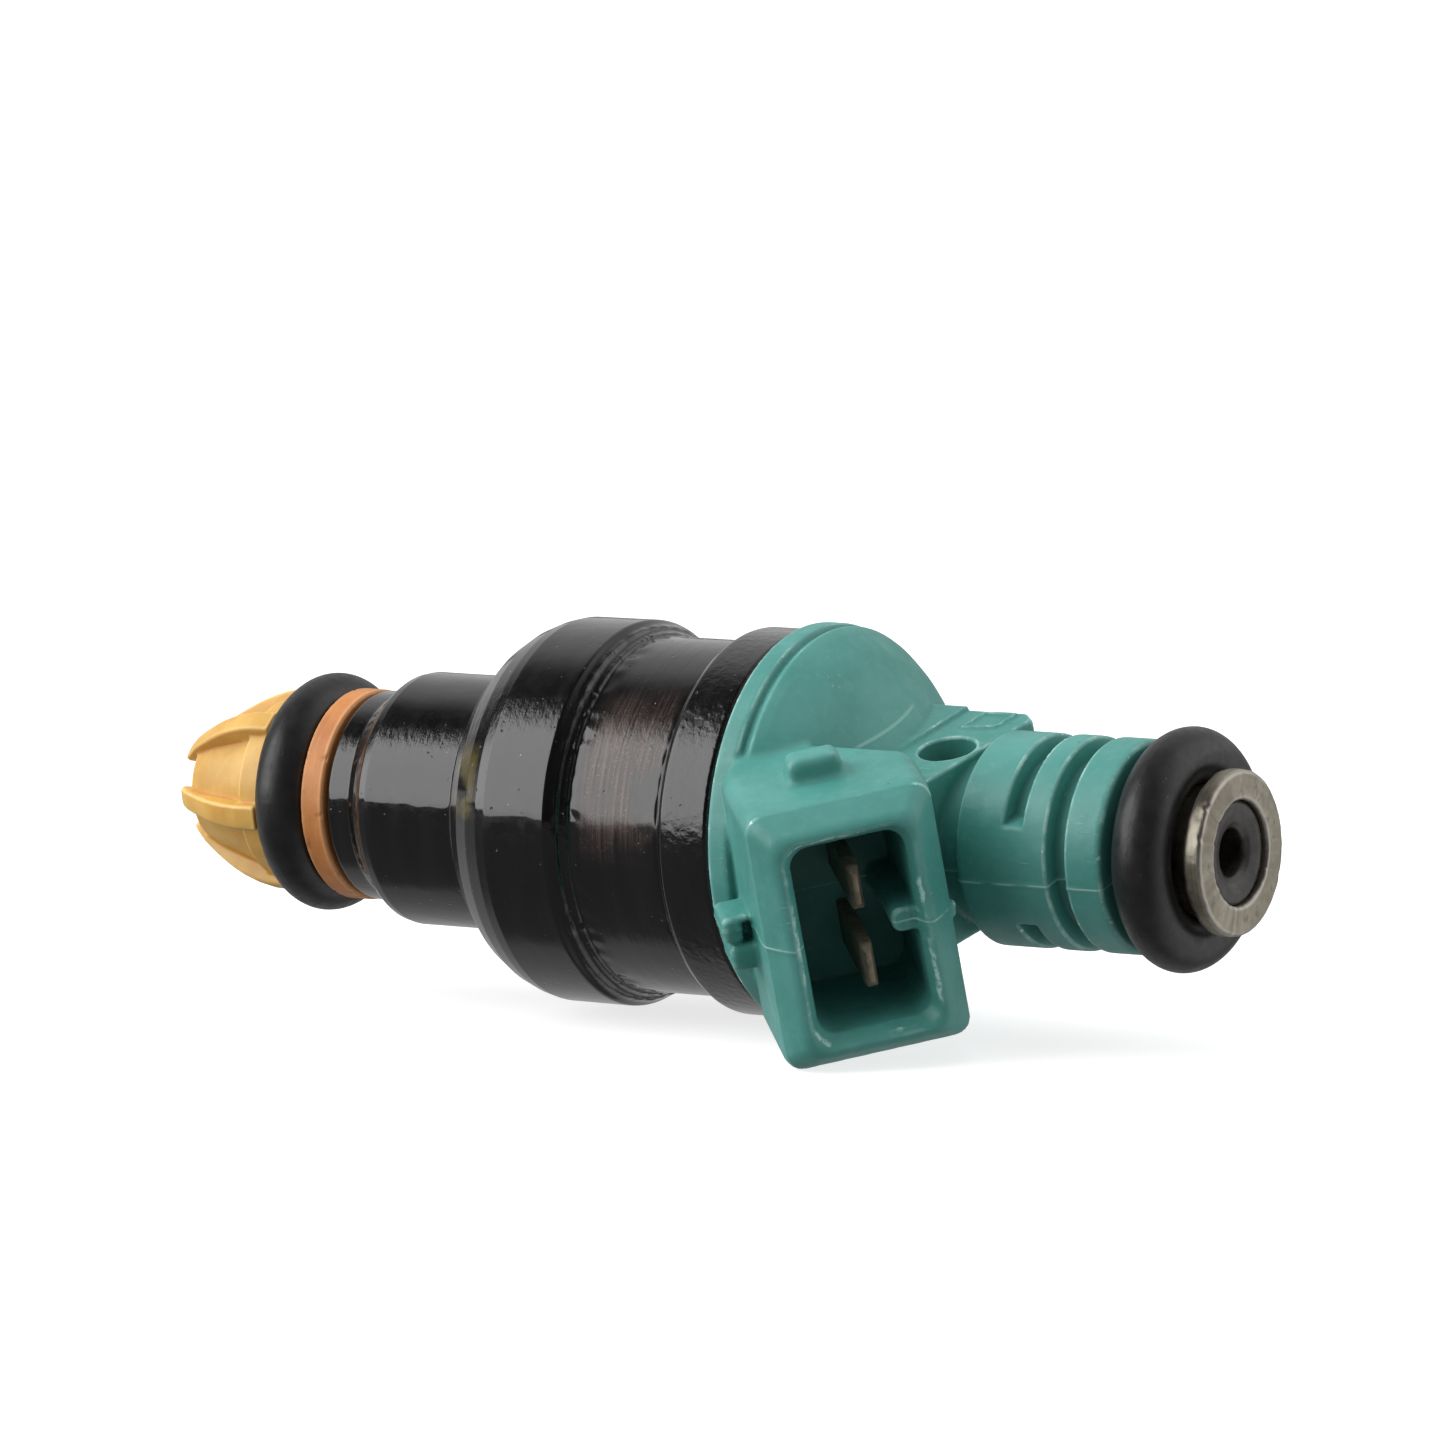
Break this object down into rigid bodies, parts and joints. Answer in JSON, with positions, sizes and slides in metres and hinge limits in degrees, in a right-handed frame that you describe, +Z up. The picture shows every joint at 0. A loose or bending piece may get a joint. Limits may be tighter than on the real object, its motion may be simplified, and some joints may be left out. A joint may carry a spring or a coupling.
{
  "type": "fuel injector",
  "caption": "Top-feed fuel injector with a steel housing, moulded two-blade plug, two seal rings, ribbed tip cap and a sliding needle valve.",
  "frame": {"origin": "on the injector axis at the middle of the manifold seal, with the injector lying on its moulded disc and the corner of its plug", "axes": "+X along the injector axis toward the fuel inlet, +Z up, so the nozzle points to -X and the plug opens toward +X, -Y and slightly down"},
  "size_m": [0.0737, 0.0309, 0.0243],
  "materials": {
    "black_steel": "gloss black lacquer, thick, with runs and specks",
    "green_plastic": "moulded glass-filled plastic, satin, worn pale at the edges",
    "seal_rubber": "black rubber, satin",
    "orange_plastic": "satin",
    "yellow_plastic": "satin, slightly translucent",
    "plated_steel": "worn plating, slightly rusty",
    "contact_metal": "dull tinned metal",
    "filter_plastic": "dark moulded plastic",
    "mesh": "woven screen",
    "machined_steel": "ground",
    "magnet_steel": "turned soft magnetic steel",
    "spring_steel": "bright wire",
    "copper": "enamelled copper wire",
    "bobbin_plastic": "moulded plastic",
    "brass": "rolled sleeve"
  },
  "bodies": {
    "injector": {"housing": "black_steel", "nozzle_body": "machined_steel", "nozzle_seal": "seal_rubber", "lift_shim": "machined_steel", "stop_plate": "machined_steel", "return_spring": "spring_steel", "adjusting_sleeve": "brass", "coil_bobbin": "bobbin_plastic", "coil_winding": "copper", "coil_seal_lower": "seal_rubber", "coil_seal_upper": "seal_rubber", "flux_washer": "magnet_steel", "inlet_tube": "plated_steel", "filter_frame": "filter_plastic", "filter_screen": "mesh", "overmould": "green_plastic", "terminal_upper": "contact_metal", "terminal_lower": "contact_metal", "manifold_seal": "seal_rubber", "rail_seal": "seal_rubber", "spacer_ring": "orange_plastic", "pintle_cap": "yellow_plastic"},
    "needle": {"valve_needle": "machined_steel", "armature": "magnet_steel"}
  },
  "joints": [
    {"name": "needle_lift", "type": "slide", "parent": "injector", "child": "needle", "axis": [1, 0, 0], "range_m": [0, 0.0001], "stiffness_N_per_m": 1500, "deforming": ["return_spring"]}
  ]
}
